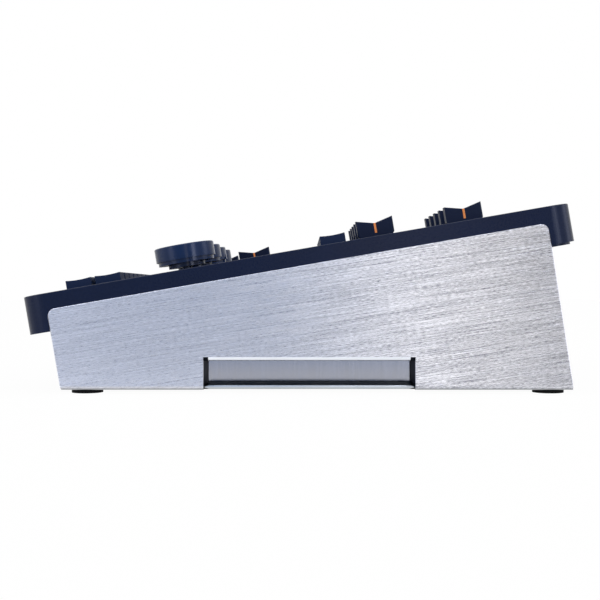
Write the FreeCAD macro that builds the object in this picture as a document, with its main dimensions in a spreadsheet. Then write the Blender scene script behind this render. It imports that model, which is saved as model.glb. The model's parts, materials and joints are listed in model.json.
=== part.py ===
"""Sloped audio mixing console with fader caps, keys, encoder knobs and rear sockets.

Row frame: +X to the right-hand side, +Y to the back, +Z up, millimetres.
The origin is on the surface the feet stand on, under the middle of the console.
Deck frame: x as in the row frame, t up the slope from the deck's front edge, n square to the deck.
Rear frame: x as in the row frame, y out of the rear panel, z up along it.
"""
import FreeCAD, Part
import math
import os
import Sketcher

DIMENSIONS = {
    # Whole console
    "width": 420,
    "depth": 351.2,
    "slope": 9.8,
    "deck_front_z": 62.31,
    "assembly_gap": 0.15,
    "overcut": 2,
    # Side panels
    "cheek_thick": 3,
    "cheek_top_drop": 10.7,
    "cheek_front_t": 12.4,
    "cheek_rear_t": 337.8,
    "cheek_corner": 5,
    "cheek_fold": 2.6,
    "cheek_chamfer": 0.4,
    "notch_front": 61.4,
    "notch_rear": 74.4,
    "notch_top": 21.2,
    # Cover
    "cover_front_t": -3.95,
    "cover_rear_t": 355.7,
    "cover_drop": 24.8,
    "cover_inset": 0.6,
    "cover_wall": 2.5,
    "cover_corner": 15,
    "cover_edge": 0.8,
    "strip_front_t": 322,
    "strip_thick": 2,
    "strip_drop": 1.5,
    "strip_side_gap": 0.6,
    "rebate_wide": 12.5,
    # Tray, feet and grips
    "foot_height": 2.5,
    "foot_radius": 10.1,
    "foot_inset": 14,
    "foot_front_y": 138,
    "foot_rear_y": 162,
    "plate_thick": 2.4,
    "tray_rear_gap": 1,
    "front_wall_gap": 0.6,
    "front_wall_thick": 1.6,
    "front_wall_drop": 2,
    "grip_depth": 40,
    "grip_lip_inset": 8,
    "grip_wall": 1.5,
    "grip_height": 25.4,
    # Keys
    "key_size": 16.8,
    "key_height": 6.3,
    "key_skirt": 6,
    "key_dish": 0.6,
    "key_gap": 0.35,
    "key_pitch_x": 19.4,
    "key_pitch_t": 19.5,
    "key_inset": 30.4,
    "key_front_t": 31,
    "key_mid_t": 201.2,
    "key_mid_rise": 0.5,
    "switch_size": 14,
    "switch_drop": 9,
    # Faders
    "channel_inset": 31,
    "channel_pitch": 27.5,
    "fader_mid_t": 230.4,
    "fader_back_t": 290,
    "fader_travel": 30,
    "booth_x": 36.5,
    "booth_t": 142.6,
    "master_x": -30,
    "master_t": 113.5,
    "master_travel": 60,
    "cross_x": -142,
    "cross_t": 49.5,
    "cross_travel": 45,
    "cap_length": 24.5,
    "cap_width": 10,
    "cap_height": 12.5,
    "cap_valley": 9.5,
    "cap_base": 0.9,
    "cap_sink_back": 0.6,
    "cap_foot": 1.2,
    "cap_chamfer": 0.35,
    "cap_corner": 0.9,
    "stem_length": 6,
    "stem_width": 2,
    "stem_drop": 9.5,
    "stem_spare": 1.2,
    "slot_width": 3,
    "slot_spare": 0.6,
    "track_width": 12,
    "track_end": 8,
    # Encoders
    "knob_inset": 41.5,
    "knob_pitch": 56,
    "knob_t": 101.6,
    "knob_radius": 20.1,
    "knob_top": 17.4,
    "knob_base": 7.9,
    "knob_chamfer": 0.6,
    "skirt_radius": 18.8,
    "skirt_base": 5.35,
    "boss_radius": 12.4,
    "boss_base": 2.7,
    "shaft_radius": 3,
    "shaft_drop": 12,
    "shaft_spare": 0.5,
    "run_gap": 0.05,
    "encoder_size": 16,
    # Boards and display
    "board_drop": 22.4,
    "board_thick": 1.6,
    "board_front_t": 18,
    "board_rear_t": 318,
    "board_half": 195,
    "display_x": -187,
    "display_t": 200,
    "display_wide": 230,
    "display_long": 135,
    "display_rim": 5,
    "display_drop": 12,
    "display_sink": 0.3,
    "audio_x": -40,
    "audio_y": -100,
    "audio_wide": 190,
    "audio_long": 240,
    "audio_post": 8,
    "audio_post_radius": 3,
    "audio_post_inset": 10,
    "supply_x": -150,
    "supply_y": 25,
    "supply_wide": 90,
    "supply_long": 100,
    "supply_high": 40,
    # Rear panel and sockets
    "rear_inset": 12,
    "rear_thick": 1.6,
    "rear_foot": 0.4,
    "rear_high": 87,
    "socket_z": 45,
    "socket_gap": 0.15,
    "flange_thick": 1.5,
    "rca_pitch_z": 20,
    "rca_collar": 4.15,
    "rca_out": 8.5,
    "rca_flange": 6,
    "rca_flange_thick": 0.8,
    "rca_body": 5,
    "rca_in": 10,
    "rca_pin_hole": 1.7,
    "rca_pin_depth": 3,
    "xlr_x": 20,
    "xlr_pitch": 40,
    "xlr_body": 11.8,
    "xlr_recess": 9.2,
    "xlr_depth": 15,
    "xlr_in": 18,
    "xlr_flange_x": 26,
    "xlr_flange_z": 31,
    "xlr_pin": 1.2,
    "xlr_pin_long": 9,
    "xlr_pin_circle": 4.2,
    "mains_x": -170,
    "mains_left": 20,
    "mains_flange_x": 74,
    "mains_flange_z": 30,
    "mains_rim": 6,
    "mains_body_x": 60,
    "mains_body_z": 23,
    "mains_recess_x": 24,
    "mains_recess_z": 17,
    "mains_depth": 16,
    "mains_in": 20,
    "mains_blade": 10,
    "mains_blade_pitch": 7,
    "mains_blade_wide": 2,
    "mains_blade_tall": 4,
    "mains_earth_rise": 3,
    "rocker_x": -134,
    "rocker_wide": 12,
    "rocker_tall": 18,
    "rocker_thick": 6,
    "rocker_tilt": 8,
    "rocker_gap": 0.6,
    "rocker_out": 4.2,
    "rocker_well": 10,
    "jack_x": -150,
    "jack_drop": 40,
    "jack_bore": 3.2,
    "jack_nut": 6,
    "jack_neck": 4.8,
    "jack_nut_thick": 1.6,
    "jack_body": 13,
    "jack_long": 22,
    "screw_head": 2.8,
    "screw_head_thick": 1.4,
    "screw_shank": 1.4,
    "screw_long": 6,
    "screw_x": 196,
    "screw_low_z": 9,
    "screw_high_z": 78,
}

CHANNELS = 5
KEY_COLUMNS = 8
KNOBS = 4
# Coordinates closer than this count as equal when edges are picked
NEAR = 0.01

doc = FreeCAD.newDocument("Console")
sheet = doc.addObject("Spreadsheet::Sheet", "dims")
for row, (alias, number) in enumerate(DIMENSIONS.items(), start=1):
    sheet.set(f"A{row}", alias)
    sheet.set(f"B{row}", str(number))
    sheet.setAlias(f"B{row}", alias)
doc.recompute()

parts = []


def size(expression):
    """Number that an expression on the sheet gives now."""
    return float(sheet.evalExpression(expression))


def slope_cos():
    """Expression for the cosine of the deck's slope."""
    return "cos(dims.slope * 1 deg)"


def slope_sin():
    """Expression for the sine of the deck's slope."""
    return "sin(dims.slope * 1 deg)"


def add(kind, name):
    """New document object of a kind."""
    return doc.addObject(kind, name)


def at(thing, place):
    """Bind an object's position to three expressions."""
    for axis, expression in zip("xyz", place):
        thing.setExpression(f"Placement.Base.{axis}", expression)


def block(name, sizes, place):
    """Rectangular block with its lowest corner at a place."""
    box = add("Part::Box", name)
    for prop, expression in zip(("Length", "Width", "Height"), sizes):
        box.setExpression(prop, expression)
    at(box, place)
    return box


def centred(name, wide, long, low, high, x, y):
    """Block centred on x and y, from one height to another."""
    place = (f"({x}) - ({wide}) / 2", f"({y}) - ({long}) / 2", low)
    return block(name, (wide, long, f"({high}) - ({low})"), place)


def rod(name, radius, length, place, along="z"):
    """Cylinder from a place along +z, or along +y out of the rear panel."""
    cylinder = add("Part::Cylinder", name)
    cylinder.setExpression("Radius", radius)
    cylinder.setExpression("Height", length)
    if along == "y":
        cylinder.Placement.Rotation = FreeCAD.Rotation(FreeCAD.Vector(1, 0, 0), -90)
    at(cylinder, place)
    return cylinder


def union(name, pieces):
    """One solid from several."""
    fused = add("Part::MultiFuse", name)
    fused.Shapes = pieces
    fused.Refine = True
    return fused


def group(name, pieces):
    """Several separate solids kept together."""
    together = add("Part::Compound", name)
    together.Links = pieces
    return together


def cut(name, base, tools):
    """Base with the tools taken out of it."""
    result = add("Part::Cut", name)
    result.Base = base
    result.Tool = tools[0] if len(tools) == 1 else group(name + "_tools", tools)
    return result


def part(label, thing, place=None):
    """Finish a sub-part: its label names its file, and its placement puts it in the console."""
    thing.Label = label
    if place is not None:
        thing.Placement = place
    parts.append(thing)
    return thing


def deck_frame(x=0, t=0, turn=0):
    """Placement of a point of the deck in the row frame, turned about the deck's normal."""
    front = FreeCAD.Vector(0, -size("dims.depth / 2"), size("dims.deck_front_z"))
    tilt = FreeCAD.Rotation(FreeCAD.Vector(1, 0, 0), size("dims.slope"))
    spin = FreeCAD.Rotation(FreeCAD.Vector(0, 0, 1), turn)
    return FreeCAD.Placement(front + tilt.multVec(FreeCAD.Vector(x, t, 0)), tilt * spin)


def deck_point(t, n):
    """Expressions for a deck point's y, counted from the front edge, and its height."""
    y = f"(({t}) * {slope_cos()} - ({n}) * {slope_sin()})"
    z = f"(dims.deck_front_z + ({t}) * {slope_sin()} + ({n}) * {slope_cos()})"
    return y, z


def rear_lean():
    """Lean of the side panels' rear edge from upright, in degrees."""
    top_y, top_z = deck_point("dims.cheek_rear_t", "-dims.cheek_top_drop")
    run = size(f"dims.depth - {top_y}")
    rise = size(f"{top_z} - dims.foot_height")
    return math.degrees(math.atan2(run, rise))


def rear_frame():
    """Placement of the rear panel's outer face, at the top of the tray's plate."""
    lean = math.radians(rear_lean())
    up = size("dims.plate_thick")
    back = size("dims.depth / 2") - up * math.tan(lean) - size("dims.rear_inset") / math.cos(lean)
    tilt = FreeCAD.Rotation(FreeCAD.Vector(1, 0, 0), math.degrees(lean))
    return FreeCAD.Placement(FreeCAD.Vector(0, back, size("dims.foot_height") + up), tilt)


def new_body(name):
    """Empty body for a padded or revolved piece."""
    return add("PartDesign::Body", name)


def new_sketch(body, name, role):
    """Sketch on one of the body's own origin planes."""
    sketch = body.newObject("Sketcher::SketchObject", name)
    plane = next(item for item in body.Origin.OriginFeatures if item.Role == role)
    sketch.AttachmentSupport = [(plane, "")]
    sketch.MapMode = "FlatFace"
    return sketch


def pin(sketch, edge, end, coordinates):
    """Hold one end of a sketch edge at two expressions."""
    for kind, axis, expression in zip(("DistanceX", "DistanceY"), (-2, -1), coordinates):
        number = size(expression)
        if abs(number) < 1e-7:
            sketch.addConstraint(Sketcher.Constraint("PointOnObject", edge, end, axis))
        else:
            index = sketch.addConstraint(Sketcher.Constraint(kind, -1, 1, edge, end, number))
            sketch.setExpression(f"Constraints[{index}]", expression)


def outline(sketch, corners):
    """Closed outline of straight edges through corners given as pairs of expressions."""
    spots = [FreeCAD.Vector(size(u), size(v), 0) for u, v in corners]
    count = len(spots)
    for i in range(count):
        sketch.addGeometry(Part.LineSegment(spots[i], spots[(i + 1) % count]), False)
    for i in range(count):
        sketch.addConstraint(Sketcher.Constraint("Coincident", i, 2, (i + 1) % count, 1))
        pin(sketch, i, 1, corners[i])


def pad(body, sketch, name, length):
    """Pad of a sketch along its normal."""
    feature = body.newObject("PartDesign::Pad", name)
    feature.Profile = sketch
    feature.setExpression("Length", length)
    doc.recompute()
    return feature


def dress(body, base, kind, name, amount, keep):
    """Fillet or chamfer on the edges of a feature that a test keeps."""
    edges = [f"Edge{i}" for i, edge in enumerate(base.Shape.Edges, start=1) if keep(edge)]
    feature = body.newObject(f"PartDesign::{kind}", name)
    feature.Base = (base, edges)
    feature.setExpression("Radius" if kind == "Fillet" else "Size", amount)
    doc.recompute()
    return feature


def edge_ends(edge):
    """First and last point of an edge."""
    return [vertex.Point for vertex in edge.Vertexes]


def same(first, last):
    """Whether two coordinates count as equal."""
    return abs(first - last) < NEAR


def side_panel(label, side):
    """Flat metal side panel with a hand-grip notch in its lower edge, folded at the bottom edges."""
    body = new_body(label)
    sketch = new_sketch(body, label + "_outline", "YZ_Plane")
    front = "dims.cheek_front_t"
    low = "dims.foot_height"
    top_front = deck_point(front, "-dims.cheek_top_drop")
    top_rear = deck_point("dims.cheek_rear_t", "-dims.cheek_top_drop")
    foot_n = f"((dims.foot_height - dims.deck_front_z - {front} * {slope_sin()}) / {slope_cos()})"
    notch_front = "(dims.depth / 2 - dims.notch_front)"
    notch_rear = "(dims.depth / 2 + dims.notch_rear)"
    outline(sketch, [
        top_front,
        (deck_point(front, foot_n)[0], low),
        (notch_front, low),
        (notch_front, "dims.notch_top"),
        (notch_rear, "dims.notch_top"),
        (notch_rear, low),
        ("dims.depth", low),
        top_rear,
    ])
    plate = pad(body, sketch, label + "_plate", "dims.cheek_thick")
    outer = size("dims.cheek_thick") if side > 0 else 0
    corner_z = size(top_front[1])
    fold_z = size("dims.notch_top")

    def top_corner(edge):
        first, last = edge_ends(edge)
        return not same(first.x, last.x) and first.z > corner_z - NEAR

    rounded = dress(body, plate, "Fillet", label + "_corners", "dims.cheek_corner", top_corner)

    def lower_edge(edge):
        first, last = edge_ends(edge)
        on_face = same(first.x, outer) and same(last.x, outer)
        return on_face and same(first.z, last.z) and first.z < fold_z + NEAR

    folded = dress(body, rounded, "Fillet", label + "_folds", "dims.cheek_fold", lower_edge)

    def upper_edge(edge):
        points = edge_ends(edge)
        return all(same(point.x, outer) and point.z > fold_z + NEAR for point in points)

    dress(body, folded, "Chamfer", label + "_edges", "dims.cheek_chamfer", upper_edge)
    x = size("dims.width / 2 - dims.cheek_thick") if side > 0 else -size("dims.width / 2")
    corner = FreeCAD.Vector(x, -size("dims.depth / 2"), 0)
    return part(label, body, FreeCAD.Placement(corner, FreeCAD.Rotation()))


def channel_x(index):
    """Expression for a channel's x, counted from the right-hand side."""
    return f"(dims.width / 2 - dims.channel_inset - {index} * dims.channel_pitch)"


def key_places():
    """Name, x and t expressions of every key: two front rows and one key for each channel."""
    places = []
    for row, letter in enumerate("ab"):
        for column in range(KEY_COLUMNS):
            x = f"(dims.width / 2 - dims.key_inset - {column} * dims.key_pitch_x)"
            t = f"(dims.key_front_t + {row} * dims.key_pitch_t)"
            places.append((f"key_{letter}_{column + 1}", x, t))
    for index in range(CHANNELS):
        places.append((f"key_mid_{index + 1}", channel_x(index), "dims.key_mid_t"))
    return places


def fader_places():
    """Name, x, t, travel and direction of every fader: up the slope, or across the deck."""
    places = []
    for row in ("mid", "back"):
        for index in range(CHANNELS):
            name = f"fader_{row}_{index + 1}"
            places.append((name, channel_x(index), f"dims.fader_{row}_t", "dims.fader_travel", "t"))
    places.append(("booth_fader", "dims.booth_x", "dims.booth_t", "dims.fader_travel", "t"))
    places.append(("master_fader", "dims.master_x", "dims.master_t", "dims.master_travel", "t"))
    places.append(("crossfader", "dims.cross_x", "dims.cross_t", "dims.cross_travel", "x"))
    return places


def knob_places():
    """Name, x and t expressions of every encoder knob."""
    places = []
    for index in range(KNOBS):
        x = f"(dims.width / 2 - dims.knob_inset - {index} * dims.knob_pitch)"
        places.append((f"encoder_knob_{index + 1}", x, "dims.knob_t"))
    return places


def fader_run(name, place, wide, spare, low, high):
    """Straight clearance for a fader stem over its whole travel, in the deck frame."""
    x, t, travel, direction = place
    long = f"(dims.stem_length + {travel} + 2 * ({spare}))"
    start = f"(- dims.stem_length / 2 - ({spare}))"
    height = f"({high}) - ({low})"
    if direction == "t":
        return block(name, (wide, long, height), (f"{x} - ({wide}) / 2", f"{t} + {start}", low))
    return block(name, (long, wide, height), (f"{x} + {start}", f"{t} - ({wide}) / 2", low))


def rounded_slab(name, wide, long, high, corner):
    """Flat slab with rounded upright corners, from its lowest corner up."""
    body = new_body(name)
    sketch = new_sketch(body, name + "_outline", "XY_Plane")
    outline(sketch, [("0", "0"), (wide, "0"), (wide, long), ("0", long)])
    slab = pad(body, sketch, name + "_pad", high)

    def upright(edge):
        first, last = edge_ends(edge)
        return not same(first.z, last.z)

    return body, dress(body, slab, "Fillet", name + "_corners", corner, upright)


def top_cover():
    """Pressed cover: the deck with four walls square to it, holes for every control."""
    wide = "(dims.width - 2 * dims.cover_inset)"
    long = "(dims.cover_rear_t - dims.cover_front_t)"
    wall = "dims.cover_wall"
    drop = "dims.cover_drop"
    body, rounded = rounded_slab("cover_slab", wide, long, drop, "dims.cover_corner")
    top = size(drop)

    def rim(edge):
        return all(same(point.z, top) for point in edge_ends(edge))

    dress(body, rounded, "Fillet", "cover_rim", "dims.cover_edge", rim)
    at(body, (f"-{wide} / 2", "dims.cover_front_t", f"-{drop}"))
    inner_wide = f"{wide} - 2 * {wall}"
    inner_long = f"{long} - 2 * {wall}"
    cavity = rounded_slab("cover_cavity", inner_wide, inner_long, drop, f"dims.cover_corner - {wall}")[0]
    at(cavity, (f"{wall} - {wide} / 2", f"dims.cover_front_t + {wall}", f"-{drop} - {wall}"))
    shell = cut("cover_shell", body, [cavity])
    below = "-dims.cover_wall - dims.overcut"
    through = "dims.cover_wall + 2 * dims.overcut"
    tools = []
    for name, x, t in key_places():
        hole = "dims.key_size + 2 * dims.key_gap"
        tools.append(centred(name + "_hole", hole, hole, below, "dims.overcut", x, t))
    for name, x, t, travel, direction in fader_places():
        place = (x, t, travel, direction)
        slot = fader_run(name + "_slot", place, "dims.slot_width", "dims.slot_spare", below, "dims.overcut")
        tools.append(slot)
    for name, x, t in knob_places():
        radius = "dims.shaft_radius + dims.run_gap"
        tools.append(rod(name + "_hole", radius, through, (x, t, below)))
    gap = "2 * dims.assembly_gap"
    window = (f"dims.display_wide + {gap}", f"dims.display_long + {gap}", through)
    tools.append(block("display_window", window, (
        "dims.display_x - dims.assembly_gap", "dims.display_t - dims.assembly_gap", below)))
    for side in (-1, 1):
        inner = f"({side} * (dims.width / 2 - dims.cover_wall) - dims.rebate_wide / 2)"
        front = "dims.cheek_front_t - dims.assembly_gap"
        rebate_long = f"dims.cheek_rear_t - dims.cheek_front_t + {gap}"
        tools.append(block(f"rebate_{side + 2}", ("dims.rebate_wide", rebate_long, drop), (
            inner, front, "-dims.cheek_top_drop - dims.cover_drop + dims.assembly_gap")))
    return part("top_cover", cut("cover_cut", shell, tools), deck_frame())


def base_tray():
    """Folded tray: bottom plate cut back at the grips, a sloping front wall and its upper ledge."""
    half = "(dims.width / 2 - dims.cheek_thick)"
    thick = "dims.front_wall_thick"
    wall_t = "(dims.cheek_front_t + dims.front_wall_gap)"
    wall_n = f"((dims.foot_height - dims.deck_front_z - {wall_t} * {slope_sin()}) / {slope_cos()})"
    front_y = f"({deck_point(wall_t, wall_n)[0]} - dims.depth / 2)"
    plate = block("tray_plate", (
        f"2 * {half}", f"dims.depth / 2 - dims.tray_rear_gap - {front_y}", "dims.plate_thick"), (
        f"-{half}", front_y, "dims.foot_height"))
    wall_top = "(- dims.cheek_top_drop - dims.front_wall_drop)"
    wall = block("tray_wall", (f"2 * {half}", thick, f"{wall_top} - {wall_n}"), (
        f"-{half}", wall_t, wall_n))
    inner_t = "(dims.cover_front_t + dims.cover_wall + dims.assembly_gap)"
    ledge_half = f"({half} - dims.cover_corner)"
    ledge = block("tray_ledge", (f"2 * {ledge_half}", f"{wall_t} - {inner_t} + {thick}", thick), (
        f"-{ledge_half}", inner_t, "-dims.cover_drop"))
    front = union("tray_front", [wall, ledge])
    front.Placement = deck_frame()
    tools = []
    for side in (-1, 1):
        lip = "(dims.width / 2 - dims.grip_lip_inset)"
        x = lip if side > 0 else f"-{lip} - dims.grip_lip_inset"
        long = "dims.notch_front + dims.notch_rear"
        high = "dims.plate_thick + 2 * dims.overcut"
        tools.append(block(f"grip_clear_{side + 2}", ("dims.grip_lip_inset", long, high), (
            x, "-dims.notch_front", "dims.foot_height - dims.overcut")))
    hole = rod("tray_jack_rod", "dims.jack_neck + dims.socket_gap", f"{thick} + 2 * dims.overcut", (
        "dims.jack_x", f"{wall_t} - dims.overcut", "-dims.jack_drop"), "y")
    opening = group("tray_jack_hole", [hole])
    opening.Placement = deck_frame()
    return part("base_tray", cut("tray_cut", union("tray_whole", [plate, front]), tools + [opening]))


def grip_cup(label, side):
    """Hand-grip recess behind a side panel's notch, open to the side and standing on the tray."""
    out = "(dims.width / 2 - dims.cheek_thick)"
    deep = "(dims.grip_depth - dims.cheek_thick)"
    wall = "dims.grip_wall"
    low = "(dims.foot_height + dims.plate_thick)"
    long = "(dims.notch_front + dims.notch_rear)"
    inner_x = f"({out} - {deep})" if side > 0 else f"(-{out})"
    shell_x = f"{inner_x} - {wall}" if side > 0 else inner_x
    shell_sizes = (f"{deep} + {wall}", f"{long} + 2 * {wall}", f"dims.grip_height - {low}")
    shell = block(label + "_shell", shell_sizes, (shell_x, f"-dims.notch_front - {wall}", low))
    space = block(label + "_space", (deep, long, f"dims.grip_height - {wall} - {low} + dims.overcut"), (
        inner_x, "-dims.notch_front", f"{low} - dims.overcut"))
    return part(label, cut(label + "_cut", shell, [space]))


def feet():
    """Four round rubber feet under the tray."""
    pieces = []
    x = "(dims.width / 2 - dims.foot_inset)"
    for index, place in enumerate([
            (f"-{x}", "-dims.foot_front_y", "0"),
            (x, "-dims.foot_front_y", "0"),
            (f"-{x}", "dims.foot_rear_y", "0"),
            (x, "dims.foot_rear_y", "0")]):
        pieces.append(rod(f"foot_{index + 1}", "dims.foot_radius", "dims.foot_height", place))
    return part("feet", group("feet_group", pieces))


def key(label, x, t):
    """Key cap with a dished top and a deep skirt. The middle row stands a little higher."""
    body = new_body(label)
    sketch = new_sketch(body, label + "_profile", "YZ_Plane")
    long = "dims.key_size"
    high = "(dims.key_skirt + dims.key_height)"
    corners = [("0", high), ("0", "0"), (long, "0"), (long, high)]
    spots = [FreeCAD.Vector(size(u), size(v), 0) for u, v in corners]
    for first, last in zip(spots, spots[1:]):
        sketch.addGeometry(Part.LineSegment(first, last), False)
    middle = FreeCAD.Vector(size(f"{long} / 2"), size(f"{high} - dims.key_dish"), 0)
    sketch.addGeometry(Part.Arc(spots[0], middle, spots[3]), False)
    for edge in range(2):
        sketch.addConstraint(Sketcher.Constraint("Coincident", edge, 2, edge + 1, 1))
    sketch.addConstraint(Sketcher.Constraint("Coincident", 3, 1, 0, 1))
    sketch.addConstraint(Sketcher.Constraint("Coincident", 3, 2, 2, 2))
    for edge in range(3):
        pin(sketch, edge, 1, corners[edge])
    pin(sketch, 2, 2, corners[3])
    radius = "((dims.key_size / 2) ^ 2 + dims.key_dish ^ 2) / (2 * dims.key_dish)"
    index = sketch.addConstraint(Sketcher.Constraint("Radius", 3, size(radius)))
    sketch.setExpression(f"Constraints[{index}]", radius)
    cap = pad(body, sketch, label + "_cap", "dims.key_size")

    def shown(edge):
        return any(point.z > NEAR for point in edge_ends(edge))

    dress(body, cap, "Fillet", label + "_edges", "dims.key_gap", shown)
    place = deck_frame(size(f"{x} - dims.key_size / 2"), size(f"{t} - dims.key_size / 2"))
    rise = size("dims.key_mid_rise") if t == "dims.key_mid_t" else 0
    place.Base += place.Rotation.multVec(FreeCAD.Vector(0, 0, rise - size("dims.key_skirt")))
    return part(label, body, place)


def fader(label, x, t, direction):
    """Fader cap with a valley across its top, on a flat stem. The back row sits lower in its tracks."""
    body = new_body(label)
    sketch = new_sketch(body, label + "_profile", "YZ_Plane")
    low = "(dims.stem_drop + dims.cap_base)"
    peak = "(dims.stem_drop + dims.cap_height)"
    long = "dims.cap_length"
    foot = "dims.cap_foot"
    outline(sketch, [
        ("0", peak),
        ("0", f"{low} + {foot}"),
        (foot, low),
        (f"{long} - {foot}", low),
        (long, f"{low} + {foot}"),
        (long, peak),
        (f"{long} / 2", "(dims.stem_drop + dims.cap_valley)"),
    ])
    cap = pad(body, sketch, label + "_cap", "dims.cap_width")
    foot_z = size(f"{low} + {foot}")

    def upright(edge):
        first, last = edge_ends(edge)
        return same(first.x, last.x) and same(first.y, last.y) and not same(first.z, last.z)

    cornered = dress(body, cap, "Chamfer", label + "_corners", "dims.cap_corner", upright)

    def crest(edge):
        first, last = edge_ends(edge)
        return same(first.x, last.x) and not same(first.y, last.y) and min(first.z, last.z) > foot_z + NEAR

    dress(body, cornered, "Chamfer", label + "_edges", "dims.cap_chamfer", crest)
    stem_sketch = new_sketch(body, label + "_stem_section", "XY_Plane")
    left = "(dims.cap_width / 2 - dims.stem_width / 2)"
    right = "(dims.cap_width / 2 + dims.stem_width / 2)"
    near = f"({long} / 2 - dims.stem_length / 2)"
    far = f"({long} / 2 + dims.stem_length / 2)"
    outline(stem_sketch, [(left, near), (right, near), (right, far), (left, far)])
    pad(body, stem_sketch, label + "_stem", f"{low} + dims.cap_foot")
    turn = 0 if direction == "t" else -90
    place = deck_frame(size(x), size(t), turn)
    sink = size("dims.cap_sink_back") if t == "dims.fader_back_t" else 0
    corner = FreeCAD.Vector(-size("dims.cap_width / 2"), -size(f"{long} / 2"), -size("dims.stem_drop") - sink)
    place.Base += place.Rotation.multVec(corner)
    return part(label, body, place)


def encoder_knob(label, x, t):
    """Turned knob in three steps on a shaft that reaches into its encoder."""
    body = new_body(label)
    sketch = new_sketch(body, label + "_profile", "XZ_Plane")
    drop = "dims.shaft_drop"
    edge = "dims.knob_chamfer"
    outline(sketch, [
        ("0", "0"),
        ("dims.shaft_radius", "0"),
        ("dims.shaft_radius", f"{drop} + dims.boss_base"),
        ("dims.boss_radius", f"{drop} + dims.boss_base"),
        ("dims.boss_radius", f"{drop} + dims.skirt_base"),
        ("dims.skirt_radius", f"{drop} + dims.skirt_base"),
        ("dims.skirt_radius", f"{drop} + dims.knob_base"),
        ("dims.knob_radius", f"{drop} + dims.knob_base"),
        ("dims.knob_radius", f"{drop} + dims.knob_top - {edge}"),
        (f"dims.knob_radius - {edge}", f"{drop} + dims.knob_top"),
        ("0", f"{drop} + dims.knob_top"),
    ])
    turned = body.newObject("PartDesign::Revolution", label + "_turned")
    turned.Profile = sketch
    turned.ReferenceAxis = (sketch, ["V_Axis"])
    turned.Angle = 360
    place = deck_frame(size(x), size(t))
    place.Base += place.Rotation.multVec(FreeCAD.Vector(0, 0, -size(drop)))
    return part(label, body, place)


def fader_tracks():
    """Slide potentiometers under the deck, each with a slot for its fader's stem."""
    pieces = []
    for name, x, t, travel, direction in fader_places():
        place = (x, t, travel, direction)
        low = "-dims.board_drop"
        run_low = "-dims.stem_drop - dims.stem_spare"
        shell = fader_run(name + "_track", place, "dims.track_width", "dims.track_end", low, "-dims.cover_wall")
        run = fader_run(name + "_run", place, "dims.slot_width", "dims.slot_spare", run_low, "0")
        pieces.append(cut(name + "_pot", shell, [run]))
    return part("fader_tracks", group("tracks_group", pieces), deck_frame())


def encoder_bodies():
    """Rotary encoders under the deck, each bored for its knob's shaft."""
    pieces = []
    for name, x, t in knob_places():
        wide = "dims.encoder_size"
        shell = centred(name + "_shell", wide, wide, "-dims.board_drop", "-dims.cover_wall", x, t)
        bore = rod(name + "_bore", "dims.shaft_radius + dims.run_gap", "dims.shaft_drop", (
            x, t, "-dims.shaft_drop - dims.shaft_spare"))
        pieces.append(cut(name + "_encoder", shell, [bore]))
    return part("encoder_bodies", group("encoders_group", pieces), deck_frame())


def key_switches():
    """Push switches on the control board, one under each key."""
    pieces = []
    for name, x, t in key_places():
        wide = "dims.switch_size"
        pieces.append(centred(name + "_switch", wide, wide, "-dims.board_drop", "-dims.switch_drop", x, t))
    return part("key_switches", group("switches_group", pieces), deck_frame())


def control_board():
    """Circuit board under the deck that carries the switches, encoders and slide potentiometers."""
    board = block("board_sheet", (
        "2 * dims.board_half", "dims.board_rear_t - dims.board_front_t", "dims.board_thick"), (
        "-dims.board_half", "dims.board_front_t", "-dims.board_drop - dims.board_thick"))
    return part("control_board", group("board_group", [board]), deck_frame())


def display_module():
    """Flat display: its window fills the cover's opening, and its frame sits under the deck."""
    window = block("display_front", (
        "dims.display_wide", "dims.display_long", "dims.display_drop - dims.display_sink"), (
        "dims.display_x", "dims.display_t", "-dims.display_drop"))
    rim = "dims.display_rim"
    frame_wide = f"dims.display_wide + 2 * {rim}"
    frame_long = f"dims.display_long + 2 * {rim}"
    frame = block("display_back", (frame_wide, frame_long, "dims.display_drop - dims.cover_wall"), (
        f"dims.display_x - {rim}", f"dims.display_t - {rim}", "-dims.display_drop"))
    return part("display_module", union("display_whole", [window, frame]), deck_frame())


def audio_board():
    """Circuit board over the tray on four posts."""
    low = "(dims.foot_height + dims.plate_thick)"
    high = f"({low} + dims.audio_post)"
    pieces = [block("audio_sheet", ("dims.audio_wide", "dims.audio_long", "dims.board_thick"), (
        "dims.audio_x", "dims.audio_y", high))]
    inset = "dims.audio_post_inset"
    for index in range(4):
        x = f"dims.audio_x + {inset} + {index % 2} * (dims.audio_wide - 2 * {inset})"
        y = f"dims.audio_y + {inset} + {index // 2} * (dims.audio_long - 2 * {inset})"
        post = rod(f"audio_post_{index + 1}", "dims.audio_post_radius", "dims.audio_post", (x, y, low))
        pieces.append(post)
    return part("audio_board", union("audio_whole", pieces))


def power_supply():
    """Boxed power supply on the tray."""
    box = block("supply_box", ("dims.supply_wide", "dims.supply_long", "dims.supply_high"), (
        "dims.supply_x", "dims.supply_y", "dims.foot_height + dims.plate_thick"))
    return part("power_supply", group("supply_group", [box]))


def rca_places():
    """Name, x and z expressions of the phono sockets, two for each channel."""
    places = []
    for index in range(CHANNELS):
        for row in (-1, 1):
            z = f"(dims.socket_z + {row} * dims.rca_pitch_z / 2)"
            places.append((f"rca_{index + 1}_{(row + 3) // 2}", channel_x(index), z))
    return places


def xlr_places():
    """Name and x expression of the two output sockets."""
    return [(f"xlr_{index + 1}", f"(dims.xlr_x - {index} * dims.xlr_pitch)") for index in range(2)]


def screw_places():
    """Name, x and z expressions of the rear panel's screws."""
    places = []
    for column in (-1, 0, 1):
        for level in ("low", "high"):
            name = f"screw_{column + 2}_{level}"
            places.append((name, f"({column} * dims.screw_x)", f"dims.screw_{level}_z"))
    return places


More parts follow.
